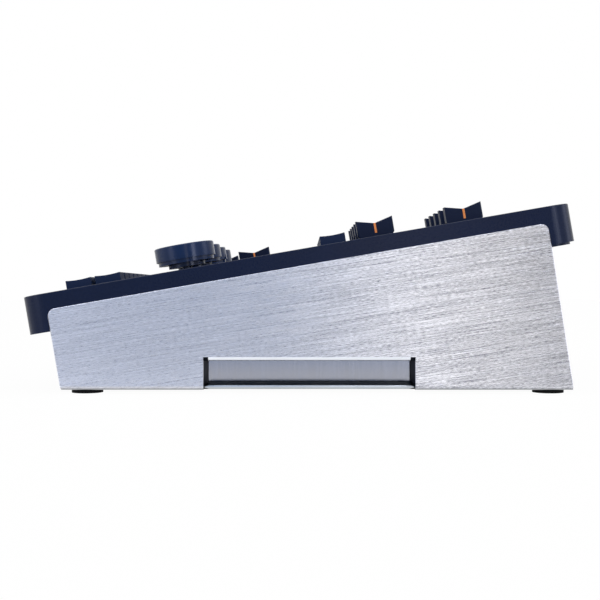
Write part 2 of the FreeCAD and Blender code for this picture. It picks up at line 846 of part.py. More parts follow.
def mains_body_left():
    """Expression for the left side of the mains module's box."""
    return "(dims.mains_x - dims.mains_left + dims.mains_rim)"


def rear_panel():
    """Socket panel between the side panels, set in from their rear edges."""
    half = "(dims.width / 2 - dims.cheek_thick)"
    high = "dims.rear_high - dims.rear_foot"
    sheet_metal = block("rear_sheet", (f"2 * {half}", "dims.rear_thick", high), (
        f"-{half}", "-dims.rear_thick", "dims.rear_foot"))
    through = "dims.rear_thick + 2 * dims.overcut"
    back = "-dims.rear_thick - dims.overcut"
    gap = "dims.socket_gap"
    tools = []
    for name, x, z in rca_places():
        tools.append(rod(name + "_hole", f"dims.rca_body + {gap}", through, (x, back, z), "y"))
    for name, x in xlr_places():
        tools.append(rod(name + "_hole", f"dims.xlr_body + {gap}", through, (x, back, "dims.socket_z"), "y"))
    for name, x, z in screw_places():
        tools.append(rod(name + "_hole", f"dims.screw_shank + {gap}", through, (x, back, z), "y"))
    hole_wide = f"dims.mains_body_x + 2 * {gap}"
    hole_tall = f"dims.mains_body_z + 2 * {gap}"
    tools.append(block("mains_hole", (hole_wide, through, hole_tall), (
        f"{mains_body_left()} - {gap}", back, f"dims.socket_z - dims.mains_body_z / 2 - {gap}")))
    return part("rear_panel", cut("rear_cut", sheet_metal, tools), rear_frame())


def rear_strip():
    """Strip that closes the cover's underside behind the rear panel, rounded to fit its corners."""
    half = "(dims.width / 2 - dims.cheek_thick - dims.strip_side_gap)"
    long = "(dims.cover_rear_t - dims.cover_wall - dims.assembly_gap - dims.strip_front_t)"
    corner = "dims.cover_corner - dims.cover_wall"
    strip = rounded_slab("strip_sheet", f"2 * {half}", long, "dims.strip_thick", corner)[0]
    at(strip, (f"-{half}", "dims.strip_front_t", "-dims.cover_drop - dims.strip_drop"))
    return part("rear_closing_strip", group("strip_group", [strip]), deck_frame())


def rca_sockets():
    """Phono sockets: a collar outside the panel, a flange on it and a body behind it."""
    pieces = []
    for name, x, z in rca_places():
        collar = rod(name + "_collar", "dims.rca_collar", "dims.rca_out", (x, "0", z), "y")
        flange = rod(name + "_flange", "dims.rca_flange", "dims.rca_flange_thick", (x, "0", z), "y")
        stub = rod(name + "_stub", "dims.rca_body", "dims.rca_in", (x, "-dims.rca_in", z), "y")
        deep = "dims.rca_out + dims.rca_pin_depth + dims.overcut"
        bore = rod(name + "_bore", "dims.rca_pin_hole", deep, (x, "-dims.rca_pin_depth", z), "y")
        whole = union(name + "_whole", [collar, flange, stub])
        pieces.append(cut(name + "_socket", whole, [bore]))
    return part("rca_sockets", group("rca_group", pieces), rear_frame())


def xlr_sockets():
    """Output sockets: a flange on the panel, a round shell behind it and three contact pins."""
    pieces = []
    for name, x in xlr_places():
        face = "dims.flange_thick"
        z = "dims.socket_z"
        flange = block(name + "_flange", ("dims.xlr_flange_x", face, "dims.xlr_flange_z"), (
            f"{x} - dims.xlr_flange_x / 2", "0", f"{z} - dims.xlr_flange_z / 2"))
        shell = rod(name + "_shell", "dims.xlr_body", "dims.xlr_in", (x, "-dims.xlr_in", z), "y")
        recess = rod(name + "_recess", "dims.xlr_recess", "dims.xlr_depth + dims.overcut", (
            x, f"{face} - dims.xlr_depth", z), "y")
        hollow = cut(name + "_hollow", union(name + "_whole", [flange, shell]), [recess])
        contacts = [hollow]
        for index in range(3):
            angle = f"({90 + 120 * index} * 1 deg)"
            pin_x = f"{x} + dims.xlr_pin_circle * cos{angle}"
            pin_z = f"{z} + dims.xlr_pin_circle * sin{angle}"
            pin_y = f"{face} - dims.xlr_depth - dims.overcut"
            contact = rod(f"{name}_pin_{index + 1}", "dims.xlr_pin", "dims.xlr_pin_long + dims.overcut", (
                pin_x, pin_y, pin_z), "y")
            contacts.append(contact)
        pieces.append(union(name + "_socket", contacts))
    return part("xlr_sockets", group("xlr_group", pieces), rear_frame())


def mains_inlet():
    """Mains module: a flange on the panel, a box behind it, an inlet recess and a well for the rocker."""
    z = "dims.socket_z"
    face = "dims.flange_thick"
    flange = block("mains_flange", ("dims.mains_flange_x", face, "dims.mains_flange_z"), (
        "dims.mains_x - dims.mains_left", "0", f"{z} - dims.mains_flange_z / 2"))
    box = block("mains_box", ("dims.mains_body_x", "dims.mains_in", "dims.mains_body_z"), (
        mains_body_left(), "-dims.mains_in", f"{z} - dims.mains_body_z / 2"))
    recess_x = "dims.mains_recess_x"
    recess_z = "dims.mains_recess_z"
    recess = block("mains_recess", (recess_x, "dims.mains_depth + dims.overcut", recess_z), (
        f"dims.mains_x - {recess_x} / 2", f"{face} - dims.mains_depth", f"{z} - {recess_z} / 2"))
    gap = "dims.rocker_gap"
    well_wide = f"dims.rocker_wide + 2 * {gap}"
    well_tall = f"dims.rocker_tall + 2 * {gap}"
    well_x = f"dims.rocker_x - dims.rocker_wide / 2 - {gap}"
    well_z = f"{z} - dims.rocker_tall / 2 - {gap}"
    well = block("rocker_well", (well_wide, f"dims.rocker_well + {face} + dims.overcut", well_tall), (
        well_x, "-dims.rocker_well", well_z))
    contacts = [cut("mains_hollow", union("mains_whole", [flange, box]), [recess, well])]
    wide = "dims.mains_blade_wide"
    tall = "dims.mains_blade_tall"
    for index in range(3):
        blade_x = f"dims.mains_x + {index - 1} * dims.mains_blade_pitch - {wide} / 2"
        blade_z = f"{z} - {tall} / 2 + {index % 2} * dims.mains_earth_rise"
        contacts.append(block(f"mains_blade_{index + 1}", (wide, "dims.mains_blade + dims.overcut", tall), (
            blade_x, f"{face} - dims.mains_depth - dims.overcut", blade_z)))
    return part("mains_inlet", union("mains_socket", contacts), rear_frame())


def power_rocker():
    """Rocker of the mains switch, lying with its upper half pressed in."""
    rocker = block("rocker_block", ("dims.rocker_wide", "dims.rocker_thick", "dims.rocker_tall"), (
        "-dims.rocker_wide / 2", "dims.rocker_out - dims.rocker_thick", "-dims.rocker_tall / 2"))
    place = rear_frame()
    place.Base += place.Rotation.multVec(FreeCAD.Vector(size("dims.rocker_x"), 0, size("dims.socket_z")))
    place.Rotation = place.Rotation * FreeCAD.Rotation(FreeCAD.Vector(1, 0, 0), size("dims.rocker_tilt"))
    return part("power_rocker", group("rocker_group", [rocker]), place)


def phones_jack():
    """Headphone socket behind the tray's front wall, with its nut outside."""
    wall_t = size("dims.cheek_front_t + dims.front_wall_gap")
    wide = "dims.jack_body"
    inner = "dims.front_wall_thick"
    shell = block("jack_shell", (wide, wide, "dims.jack_long - dims.front_wall_thick"), (
        f"-{wide} / 2", f"-{wide} / 2", inner))
    neck_long = "dims.front_wall_thick + dims.jack_nut_thick + dims.overcut"
    neck = rod("jack_neck", "dims.jack_neck", neck_long, ("0", "0", "-dims.jack_nut_thick"))
    nut = rod("jack_nut", "dims.jack_nut", "dims.jack_nut_thick", ("0", "0", "-dims.jack_nut_thick"))
    bore_z = "-dims.jack_nut_thick - dims.overcut"
    bore = rod("jack_bore", "dims.jack_bore", "dims.jack_long", ("0", "0", bore_z))
    socket = cut("jack_socket", union("jack_whole", [shell, neck, nut]), [bore])
    place = deck_frame(size("dims.jack_x"), wall_t)
    place.Base += place.Rotation.multVec(FreeCAD.Vector(0, 0, -size("dims.jack_drop")))
    place.Rotation = place.Rotation * FreeCAD.Rotation(FreeCAD.Vector(1, 0, 0), -90)
    return part("phones_jack", socket, place)


def panel_screws():
    """Pan-head screws that hold the rear panel."""
    pieces = []
    for name, x, z in screw_places():
        head = rod(name + "_head", "dims.screw_head", "dims.screw_head_thick", (x, "0", z), "y")
        shank = rod(name + "_shank", "dims.screw_shank", "dims.screw_long", (x, "-dims.screw_long", z), "y")
        pieces.append(union(name, [head, shank]))
    return part("panel_screws", group("screws_group", pieces), rear_frame())


def build():
    """Make every sub-part."""
    side_panel("right_side_panel", 1)
    side_panel("left_side_panel", -1)
    top_cover()
    base_tray()
    grip_cup("right_grip_cup", 1)
    grip_cup("left_grip_cup", -1)
    feet()
    rear_panel()
    rear_strip()
    control_board()
    fader_tracks()
    encoder_bodies()
    key_switches()
    display_module()
    audio_board()
    power_supply()
    rca_sockets()
    xlr_sockets()
    mains_inlet()
    power_rocker()
    phones_jack()
    panel_screws()
    for name, x, t in key_places():
        key(name, x, t)
    for name, x, t, travel, direction in fader_places():
        fader(name, x, t, direction)
    for name, x, t in knob_places():
        encoder_knob(name, x, t)


def check():
    """Stop if an object failed or a sub-part has no valid solid."""
    doc.recompute()
    for thing in doc.Objects:
        if "Invalid" in thing.State or "Error" in thing.State:
            raise RuntimeError(f"{thing.Label} failed: {thing.State}")
    for thing in parts:
        if thing.Shape.isNull() or not thing.Shape.isValid() or not thing.Shape.Solids:
            raise RuntimeError(f"{thing.Label} has no valid solid")


def write():
    """Write each sub-part to its own file."""
    os.makedirs("parts", exist_ok=True)
    for thing in parts:
        thing.Shape.exportStep(os.path.join("parts", thing.Label + ".step"))
        box = thing.Shape.BoundBox
        print(f"{thing.Label}: {len(thing.Shape.Solids)} solids, {thing.Shape.Volume:.0f} mm3, "
              f"x {box.XMin:.1f} {box.XMax:.1f}, y {box.YMin:.1f} {box.YMax:.1f}, "
              f"z {box.ZMin:.1f} {box.ZMax:.1f}")


build()
check()
write()
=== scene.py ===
import json
import math
import bpy
from mathutils import Matrix, Vector


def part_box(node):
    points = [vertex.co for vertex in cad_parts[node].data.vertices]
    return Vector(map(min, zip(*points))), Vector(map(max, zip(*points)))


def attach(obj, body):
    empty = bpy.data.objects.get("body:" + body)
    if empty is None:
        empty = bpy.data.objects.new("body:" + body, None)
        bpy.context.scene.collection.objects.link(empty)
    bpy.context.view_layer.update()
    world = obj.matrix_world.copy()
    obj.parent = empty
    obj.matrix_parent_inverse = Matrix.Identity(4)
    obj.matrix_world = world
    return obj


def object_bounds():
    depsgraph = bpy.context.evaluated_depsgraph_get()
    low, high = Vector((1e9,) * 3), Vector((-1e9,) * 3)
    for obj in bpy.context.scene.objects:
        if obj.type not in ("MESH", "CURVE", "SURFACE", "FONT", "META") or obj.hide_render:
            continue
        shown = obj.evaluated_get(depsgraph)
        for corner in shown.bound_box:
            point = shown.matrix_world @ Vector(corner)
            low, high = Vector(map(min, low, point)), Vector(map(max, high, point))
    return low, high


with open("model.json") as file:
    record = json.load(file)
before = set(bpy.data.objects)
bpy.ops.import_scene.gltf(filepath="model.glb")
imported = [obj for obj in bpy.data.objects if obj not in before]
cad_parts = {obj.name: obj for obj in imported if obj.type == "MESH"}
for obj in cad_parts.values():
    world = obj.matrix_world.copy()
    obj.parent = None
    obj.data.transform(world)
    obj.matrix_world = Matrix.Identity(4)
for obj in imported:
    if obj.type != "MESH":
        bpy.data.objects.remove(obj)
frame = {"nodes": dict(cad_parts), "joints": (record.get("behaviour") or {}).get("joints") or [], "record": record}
cad_low, cad_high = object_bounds()

# Frame of the sloping deck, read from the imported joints
MM = 0.001
JOINTS = {joint["name"]: joint for joint in frame["joints"]}
ACROSS = Vector((1, 0, 0))
UP_SLOPE = Vector(JOINTS["fader_mid_1_slide"]["axis"]).normalized()
NORMAL = Vector(JOINTS["encoder_knob_1_turn"]["axis"]).normalized()
DECK_POINT = Vector(JOINTS["encoder_knob_1_turn"]["pos_m"])

# Frame of the rear panel, read from its largest outer face and the rocker's joint
REAR_FACES = [face for face in frame["nodes"]["rear_panel"].data.polygons if face.normal.y > 0]
OUTWARD = max(REAR_FACES, key=lambda face: face.area).normal.copy()
REAR_UP = ACROSS.cross(OUTWARD)
REAR_POINT = Vector(JOINTS["power_rocker_tilt"]["pos_m"])

# Camera of the photograph: 600 by 600 pixels, looking at the right-hand side panel
IMAGE_PIXELS = 600
FOCAL_PIXELS = 1070.6
FRAME_SHIFT_PIXELS = (-3.9, -10.5)
SENSOR_WIDTH = 36
CAMERA_GAP = 684 * MM
CAMERA_HEIGHT = 66.8 * MM
CAMERA_BACK = 3.0 * MM

# Light: colours, strengths, and the places of the cards in metres
WHITE = (1, 1, 1)
COOL_CARD = (0.41, 0.55, 0.83)
WARM_CARD = (1.0, 0.965, 0.92)
STRIP_TINT = (0.82, 0.86, 1.0)
AMBIENT = 0.82
FLOOR_GLOW = 0.97
CARD_X = 1.7
CARD_EDGES = (-2.2, 0.09, 0.34, 1.0)
CARD_TOP = 2.6
STRIP_REACH = 1.9
STRIP_TOP = 3.0

# Controls
CHANNELS = range(1, 6)
KEY_COLUMNS = 8
CHANNEL_FADERS = [f"fader_{row}_{index}" for row in ("mid", "back") for index in CHANNELS]
FADERS = CHANNEL_FADERS + ["booth_fader", "master_fader", "crossfader"]
KNOBS = [f"encoder_knob_{index}" for index in range(1, 5)]
FRONT_KEYS = [f"key_{row}_{column}" for row in "ab" for column in range(1, KEY_COLUMNS + 1)]
MID_KEYS = [f"key_mid_{index}" for index in CHANNELS]

# Sides of the case and their signs across the console
SIDES = (("right", 1), ("left", -1))

# Sizes and places of the CAD solids that the pieces follow
VALLEY_DEPTH = 3.0 * MM
VALLEY_REACH = 12.25 * MM
GRIP_WALL = 1.5 * MM
NOTCH_FRONT = -61.4 * MM
NOTCH_REAR = 74.4 * MM
NOTCH_TOP = 21.2 * MM
FOLD_RADIUS = 2.6 * MM
CORNER_RADIUS = 5 * MM
OUTPUT_PLACES = (20 * MM, -20 * MM)
INLET_PLACE = -170 * MM
CONTACT_TIP = -4.4 * MM

# Thickness of a printed mark or a thin film
LIFT = 0.04 * MM


# Frames

def deck_point(x, t, n):
    """Place on the deck: across the console, up the slope from the first knob, and off the deck."""
    return DECK_POINT + ACROSS * (x - DECK_POINT.x) + UP_SLOPE * t + NORMAL * n


def rear_point(x, y, z):
    """Place on the rear panel: across the console, out of the panel, and up from the row of sockets."""
    return REAR_POINT + ACROSS * (x - REAR_POINT.x) + OUTWARD * y + REAR_UP * z


def row_point(x, y, z):
    """Place in the row frame."""
    return Vector((x, y, z))


def deck_range(node):
    """Lowest and highest deck coordinates of a CAD node."""
    spots = [vertex.co - DECK_POINT for vertex in frame["nodes"][node].data.vertices]
    across = [spot.x + DECK_POINT.x for spot in spots]
    along = [spot.dot(UP_SLOPE) for spot in spots]
    off = [spot.dot(NORMAL) for spot in spots]
    return [(min(values), max(values)) for values in (across, along, off)]


def deck_middle(node):
    """Middle of a CAD node across the console and up the slope, and its top off the deck."""
    across, along, off = deck_range(node)
    return sum(across) / 2, sum(along) / 2, off[1]


# Shapes: corners and faces

def block(place, xs, ys, zs):
    """Block in a frame."""
    corners = [place(x, y, z) for z in zs for y in ys for x in xs]
    faces = [(0, 2, 3, 1), (4, 5, 7, 6), (0, 1, 5, 4), (2, 6, 7, 3), (0, 4, 6, 2), (1, 3, 7, 5)]
    return corners, faces


def deck_print(xs, ts):
    """Printed field on the deck."""
    return block(deck_point, xs, ts, (0, LIFT))


def rear_print(xs, zs):
    """Printed field on the rear panel."""
    return block(rear_point, xs, (0, LIFT), zs)


def line_frame(field, us, vs, half):
    """Four lines round a rectangle, each a printed field."""
    lines = [field((u - half, u + half), vs) for u in us]
    return lines + [field(us, (v - half, v + half)) for v in vs]


def open_surface(rows):
    """Surface through rows of corners."""
    count = len(rows[0])
    corners = [corner for row in rows for corner in row]
    faces = []
    for row in range(len(rows) - 1):
        for column in range(count - 1):
            first = row * count + column
            faces.append((first, first + 1, first + count + 1, first + count))
    return corners, faces


def tube(rows, closed=False):
    """Tube through closed rows of corners. It joins up with its start, or else ends in flat caps."""
    count, sides = len(rows), len(rows[0])
    corners = [corner for row in rows for corner in row]
    faces = []
    if not closed:
        last = (count - 1) * sides
        faces = [tuple(range(sides)), tuple(range(last, last + sides))[::-1]]
    for row in range(count if closed else count - 1):
        start = row * sides
        after = (row + 1) % count * sides
        for side in range(sides):
            other = (side + 1) % sides
            faces.append((start + side, after + side, after + other, start + other))
    return corners, faces


def ring(place, inner, outer, low, high, steps=48):
    """Flat ring in a frame, with its axis along the frame's third direction."""
    outline = ((inner, low), (outer, low), (outer, high), (inner, high))
    rows = []
    for step in range(steps):
        angle = 2 * math.pi * step / steps
        along, aside = math.cos(angle), math.sin(angle)
        rows.append([place(radius * along, radius * aside, level) for radius, level in outline])
    return tube(rows, closed=True)


def flipped(shape):
    """Shape with its faces turned over."""
    corners, faces = shape
    return corners, [face[::-1] for face in faces]


def joined(shapes):
    """Several shapes in one."""
    corners = []
    faces = []
    for spots, sides in shapes:
        start = len(corners)
        corners += spots
        faces += [tuple(start + index for index in side) for side in sides]
    return corners, faces


# Objects

def new_object(name, corners, faces, finish):
    """Mesh object with one material."""
    mesh = bpy.data.meshes.new(name)
    mesh.from_pydata([tuple(corner) for corner in corners], [], faces)
    mesh.materials.append(finish)
    made = bpy.data.objects.new(name, mesh)
    bpy.context.scene.collection.objects.link(made)
    return made


def piece(name, shapes, finish, body):
    """New piece of the object that rides on a body and has the given finish."""
    made = new_object(name, *joined(shapes), finish)
    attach(made, body)
    return made


# Parts of a material

def new_material(name, color, roughness, metallic=0.0, specular=0.5):
    """Material with its shader's plain values set, its node tree and its shader."""
    made = bpy.data.materials.new(name)
    made.use_nodes = True
    tree = made.node_tree
    shader = tree.nodes["Principled BSDF"]
    shader.inputs["Base Color"].default_value = (*color, 1)
    shader.inputs["Roughness"].default_value = roughness
    shader.inputs["Metallic"].default_value = metallic
    shader.inputs["Specular IOR Level"].default_value = specular
    return made, tree, shader


def add_node(tree, kind, settings=None, **values):
    """Shader node with some of its settings and inputs set."""
    made = tree.nodes.new(kind)
    for name, value in (settings or {}).items():
        setattr(made, name, value)
    for name, value in values.items():
        made.inputs[name.replace("_", " ")].default_value = value
    return made


def texture_space(tree, scale=(1, 1, 1), turn=(0, 0, 0)):
    """Texture position in the row frame, turned back and scaled."""
    place = add_node(tree, "ShaderNodeTexCoord")
    mapping = add_node(tree, "ShaderNodeMapping", {"vector_type": "TEXTURE"})
    mapping.inputs["Rotation"].default_value = turn
    mapping.inputs["Scale"].default_value = [1 / value for value in scale]
    tree.links.new(place.outputs["Object"], mapping.inputs["Vector"])
    return mapping.outputs["Vector"]


def noise(tree, vector, scale, detail, rough=0.5, warp=0.0):
    """Noise value over a texture position."""
    made = add_node(tree, "ShaderNodeTexNoise", Scale=scale, Detail=detail, Roughness=rough, Distortion=warp)
    tree.links.new(vector, made.inputs["Vector"])
    return made.outputs["Fac"]


def spread(tree, value, source, target):
    """Value carried from one range to another."""
    made = add_node(tree, "ShaderNodeMapRange")
    for name, limits in (("From", source), ("To", target)):
        made.inputs[name + " Min"].default_value = limits[0]
        made.inputs[name + " Max"].default_value = limits[1]
    tree.links.new(value, made.inputs["Value"])
    return made.outputs["Result"]


def combine(tree, operation, first, second):
    """Two values put together by a plain operation. The second may be a number."""
    made = add_node(tree, "ShaderNodeMath", {"operation": operation})
    tree.links.new(first, made.inputs[0])
    if isinstance(second, float):
        made.inputs[1].default_value = second
    else:
        tree.links.new(second, made.inputs[1])
    return made.outputs[0]


def mix_colors(tree, factor, first, second):
    """Colour between two by a factor."""
    made = add_node(tree, "ShaderNodeMix", {"data_type": "RGBA"})
    tree.links.new(factor, made.inputs[0])
    made.inputs[6].default_value = (*first, 1)
    made.inputs[7].default_value = (*second, 1)
    return made.outputs[2]


def relief(tree, shader, height, strength, distance):
    """Fine relief on a shader."""
    made = add_node(tree, "ShaderNodeBump", Strength=strength, Distance=distance)
    tree.links.new(height, made.inputs["Height"])
    tree.links.new(made.outputs["Normal"], shader.inputs["Normal"])


# Materials

def brushing(tree):
    """Long streaks of the brushing, and the level of long and short streaks about its average."""
    lean = (math.radians(9), 0, 0)
    long_scale, short_scale = (300, 14, 3000), (300, 350, 3400)
    long_share, average = 1.3, 1.16
    long = noise(tree, texture_space(tree, long_scale, lean), 1.0, 2.0, rough=0.6, warp=2.0)
    short = noise(tree, texture_space(tree, short_scale, lean), 1.0, 2.0, rough=0.6)
    total = combine(tree, "ADD", combine(tree, "MULTIPLY", long, long_share), short)
    return long, combine(tree, "SUBTRACT", total, average)


def streak_level_and_painted_light(tree, level):
    """Level of the streaks, deeper towards the back, with painted light that makes it paler low at the front."""
    place = add_node(tree, "ShaderNodeSeparateXYZ")
    tree.links.new(texture_space(tree), place.inputs["Vector"])
    depth = spread(tree, place.outputs["Y"], (-20 * MM, 80 * MM), (0.95, 2.6))
    # Painted light: the tone is lifted low down at the front of the panel
    low = spread(tree, place.outputs["Z"], (2 * MM, 28 * MM), (0.12, 0.0))
    front = spread(tree, place.outputs["Y"], (-60 * MM, 30 * MM), (1.0, 0.0))
    painted_lift = combine(tree, "MULTIPLY", low, front)
    return combine(tree, "ADD", combine(tree, "MULTIPLY", level, depth), painted_lift)


def brushed_metal():
    """Aluminium brushed along the slope."""
    average, darkest, palest = (0.62, 0.625, 0.68), (0.27, 0.275, 0.315), (0.885, 0.89, 0.945)
    made, tree, shader = new_material("brushed_aluminium", average, 0.3, metallic=1.0)
    shader.inputs["Anisotropic"].default_value = 1.0
    stretch = add_node(tree, "ShaderNodeCombineXYZ", X=NORMAL.x, Y=NORMAL.y, Z=NORMAL.z)
    tree.links.new(stretch.outputs[0], shader.inputs["Tangent"])
    long, level = brushing(tree)
    # Tone of the brushing, with painted light low at the front
    tone = spread(tree, streak_level_and_painted_light(tree, level), (-0.4, 0.4), (0.0, 1.0))
    tree.links.new(mix_colors(tree, tone, darkest, palest), shader.inputs["Base Color"])
    tree.links.new(spread(tree, level, (-0.3, 0.3), (0.26, 0.34)), shader.inputs["Roughness"])
    relief(tree, shader, long, 0.4, 0.1 * MM)
    return made


def coated(name, color, roughness, specular, grain, strength, metallic=0.0):
    """Coated, moulded or plated surface with a fine even grain and slight changes of tone."""
    cloud_scale = 25.0
    tone_change, rough_change = 0.15, 0.05
    made, tree, shader = new_material(name, color, roughness, metallic, specular)
    space = texture_space(tree)
    cloud = noise(tree, space, cloud_scale, 3.0)
    speckle = noise(tree, space, grain, 2.0)
    darker = [value * (1 - tone_change) for value in color]
    lighter = [value * (1 + tone_change) for value in color]
    tree.links.new(mix_colors(tree, cloud, darker, lighter), shader.inputs["Base Color"])
    limits = (roughness - rough_change, roughness + rough_change)
    tree.links.new(spread(tree, speckle, (0.0, 1.0), limits), shader.inputs["Roughness"])
    relief(tree, shader, speckle, strength, 0.05 * MM)
    return made


def ribbed_metal():
    """Plain metal plate with faint upright rolling lines."""
    average, darkest, palest = (0.36, 0.367, 0.41), (0.346, 0.353, 0.394), (0.374, 0.381, 0.426)
    made, tree, shader = new_material("grip_plate", average, 0.11, metallic=1.0)
    lines = noise(tree, texture_space(tree, (900, 900, 40)), 1.0, 2.0)
    usual = (0.3, 0.7)
    tone = spread(tree, lines, usual, (0.0, 1.0))
    tree.links.new(mix_colors(tree, tone, darkest, palest), shader.inputs["Base Color"])
    tree.links.new(spread(tree, lines, usual, (0.09, 0.13)), shader.inputs["Roughness"])
    return made


def glowing(name, color, strength):
    """Material that only glows."""
    made = bpy.data.materials.new(name)
    made.use_nodes = True
    tree = made.node_tree
    glow = add_node(tree, "ShaderNodeEmission", Color=(*color, 1), Strength=strength)
    tree.links.new(glow.outputs[0], tree.nodes["Material Output"].inputs["Surface"])
    return made


# Camera and light

def place_camera():
    """Camera of the photograph, level and square to the side panel."""
    data = bpy.data.cameras.new("photo_camera")
    data.sensor_width = SENSOR_WIDTH
    data.lens = SENSOR_WIDTH * FOCAL_PIXELS / IMAGE_PIXELS
    data.shift_x, data.shift_y = [pixels / IMAGE_PIXELS for pixels in FRAME_SHIFT_PIXELS]
    camera = bpy.data.objects.new("photo_camera", data)
    camera.location = (cad_high.x + CAMERA_GAP, CAMERA_BACK, CAMERA_HEIGHT)
    camera.rotation_euler = (math.pi / 2, 0, math.pi / 2)
    bpy.context.scene.collection.objects.link(camera)
    bpy.context.scene.camera = camera


def seen_rays(tree):
    """Factor of 1 for the rays that show the background: camera, glossy and transmission rays."""
    path = add_node(tree, "ShaderNodeLightPath")
    total = path.outputs["Is Camera Ray"]
    for name in ("Is Glossy Ray", "Is Transmission Ray"):
        total = combine(tree, "MAXIMUM", total, path.outputs[name])
    return total


def light_world():
    """White background, with a softer white as the light that falls on the object."""
    world = bpy.data.worlds.new("studio")
    bpy.context.scene.world = world
    world.use_nodes = True
    tree = world.node_tree
    back = tree.nodes["Background"]
    back.inputs["Color"].default_value = (*WHITE, 1)
    strength = spread(tree, seen_rays(tree), (0.0, 1.0), (AMBIENT, 1.0))
    tree.links.new(strength, back.inputs["Strength"])


def lay_floor():
    """Pale floor that shows white and keeps a soft shadow of the object."""
    reach = 6
    corners = [(-reach, -reach, 0), (reach, -reach, 0), (reach, reach, 0), (-reach, reach, 0)]
    made, tree, shader = new_material("floor_white", (0.9, 0.9, 0.9), 0.9, specular=0.0)
    glow = add_node(tree, "ShaderNodeEmission", Color=(*WHITE, 1), Strength=1.0)
    mixed = add_node(tree, "ShaderNodeMixShader")
    tree.links.new(combine(tree, "MULTIPLY", seen_rays(tree), FLOOR_GLOW), mixed.inputs[0])
    tree.links.new(shader.outputs[0], mixed.inputs[1])
    tree.links.new(glow.outputs[0], mixed.inputs[2])
    tree.links.new(mixed.outputs[0], tree.nodes["Material Output"].inputs["Surface"])
    new_object("floor", corners, [(0, 1, 2, 3)], made)


def light_card(name, color, strength, corners):
    """Glowing card out of the picture that shows only in reflections."""
    card = new_object(name, corners, [(0, 1, 2, 3)], glowing(name, color, strength))
    card.visible_camera = False
    card.visible_diffuse = False
    card.visible_shadow = False


def upright_card(name, color, strength, first, last, top):
    """Card that stands on the floor between two places in plan."""
    corners = [(*first, 0), (*first, top), (*last, top), (*last, 0)]
    light_card(name, color, strength, corners)


def side_cards():
    """Cool, bright and dim cards, one after another from front to back, for the side panel's tone."""
    cards = (("cool_card", COOL_CARD, 1.0), ("bright_card", WARM_CARD, 2.7), ("dim_card", WHITE, 0.15))
    for (name, color, strength), first, last in zip(cards, CARD_EDGES, CARD_EDGES[1:]):
        upright_card(name, color, strength, (CARD_X, first), (CARD_X, last), CARD_TOP)


def far_strips():
    """Distant upright strips of light for the rounded corners, between directions from +X towards +Y."""
    strips = (
        ("front_strip", 6.0, -55, -38),
        ("front_side_strip", 3.5, -100, -74),
        ("rear_strip", 10.0, 29, 38),
        ("rear_side_strip", 3.5, 76, 96),
    )
    for name, strength, *directions in strips:
        angles = [math.radians(degrees) for degrees in directions]
        places = [(STRIP_REACH * math.cos(angle), STRIP_REACH * math.sin(angle)) for angle in angles]
        upright_card(name, STRIP_TINT, strength, *places, STRIP_TOP)


def overhead_strip():
    """Level strip of light over the right-hand side, for the upper edges."""
    near, far = 0.1, 0.5
    reach, height = 1.2, 1.5
    corners = [(near, -reach, height), (near, reach, height), (far, reach, height), (far, -reach, height)]
    light_card("top_strip", STRIP_TINT, 5.0, corners)


def light_lamp():
    """One large soft lamp above the object."""
    power, size = 5, 1.4
    place, aim = Vector((0.35, 0.2, 1.3)), Vector((0, 0, 0.05))
    data = bpy.data.lights.new("key", "AREA")
    data.shape = "RECTANGLE"
    data.size = size
    data.size_y = size
    data.energy = power
    lamp = bpy.data.objects.new("key", data)
    lamp.location = place
    lamp.rotation_euler = (aim - place).to_track_quat("-Z", "Y").to_euler()
    lamp.visible_camera = False
    lamp.visible_glossy = False
    bpy.context.scene.collection.objects.link(lamp)


# Finishes of the CAD nodes: colour, roughness, specular level, grain per metre and strength of the relief

def make_finishes():
    """Material for each slot of the record."""
    return {
        "side_metal": brushed_metal(),
        "cover_paint": coated("navy_coating", (0.0034, 0.0096, 0.038), 0.28, 0.14, 2200, 0.1),
        "tray_metal": coated("black_coating", (0.004, 0.005, 0.007), 0.5, 0.2, 1800, 0.3),
        "grip_metal": coated("grip_black", (0.003, 0.0042, 0.0085), 0.55, 0.05, 1800, 0.3),
        "foot_rubber": coated("foot_rubber", (0.004, 0.004, 0.005), 0.75, 0.1, 1500, 0.5),
        "rear_metal": coated("rear_coating", (0.010, 0.011, 0.016), 0.5, 0.25, 1400, 0.5),
        "circuit_board": coated("solder_mask", (0.01, 0.08, 0.03), 0.4, 0.4, 900, 0.1),
        "component_black": coated("component_black", (0.008, 0.008, 0.009), 0.5, 0.4, 1500, 0.2),
        "display_glass": coated("display_glass", (0.003, 0.004, 0.006), 0.26, 0.1, 3000, 0.02),
        "supply_case": coated("supply_case", (0.2, 0.21, 0.22), 0.5, 0.4, 1200, 0.3),
        "socket_metal": coated("socket_metal", (0.66, 0.66, 0.68), 0.25, 0.5, 2500, 0.05, metallic=1.0),
        "socket_black": coated("socket_black", (0.008, 0.008, 0.01), 0.4, 0.4, 2000, 0.2),
        "rocker_black": coated("rocker_black", (0.008, 0.008, 0.01), 0.25, 0.5, 2500, 0.1),
        "screw_steel": coated("screw_steel", (0.25, 0.25, 0.27), 0.35, 0.5, 2500, 0.1, metallic=1.0),
        "key_plastic": coated("key_plastic", (0.005, 0.018, 0.068), 0.42, 0.12, 3000, 0.05),
        "cap_plastic": coated("cap_plastic", (0.0015, 0.0092, 0.042), 0.42, 0.11, 3000, 0.05),
        "knob_plastic": coated("knob_plastic", (0.002, 0.019, 0.082), 0.23, 0.20, 3000, 0.04),
    }


def dress_nodes(finishes):
    """Give each CAD node its finish."""
    for entry in frame["record"]["subparts"]:
        node = frame["nodes"][entry["node"]]
        node.data.materials.clear()
        node.data.materials.append(finishes[entry["material_slot"]])


# Pieces on the controls

def travel_of(node):
    """How far a fader slides, and whether it slides up the slope."""
    joint = JOINTS[node + "_slide"]
    return joint["range_m"][1], abs(Vector(joint["axis"]).x) < 0.5


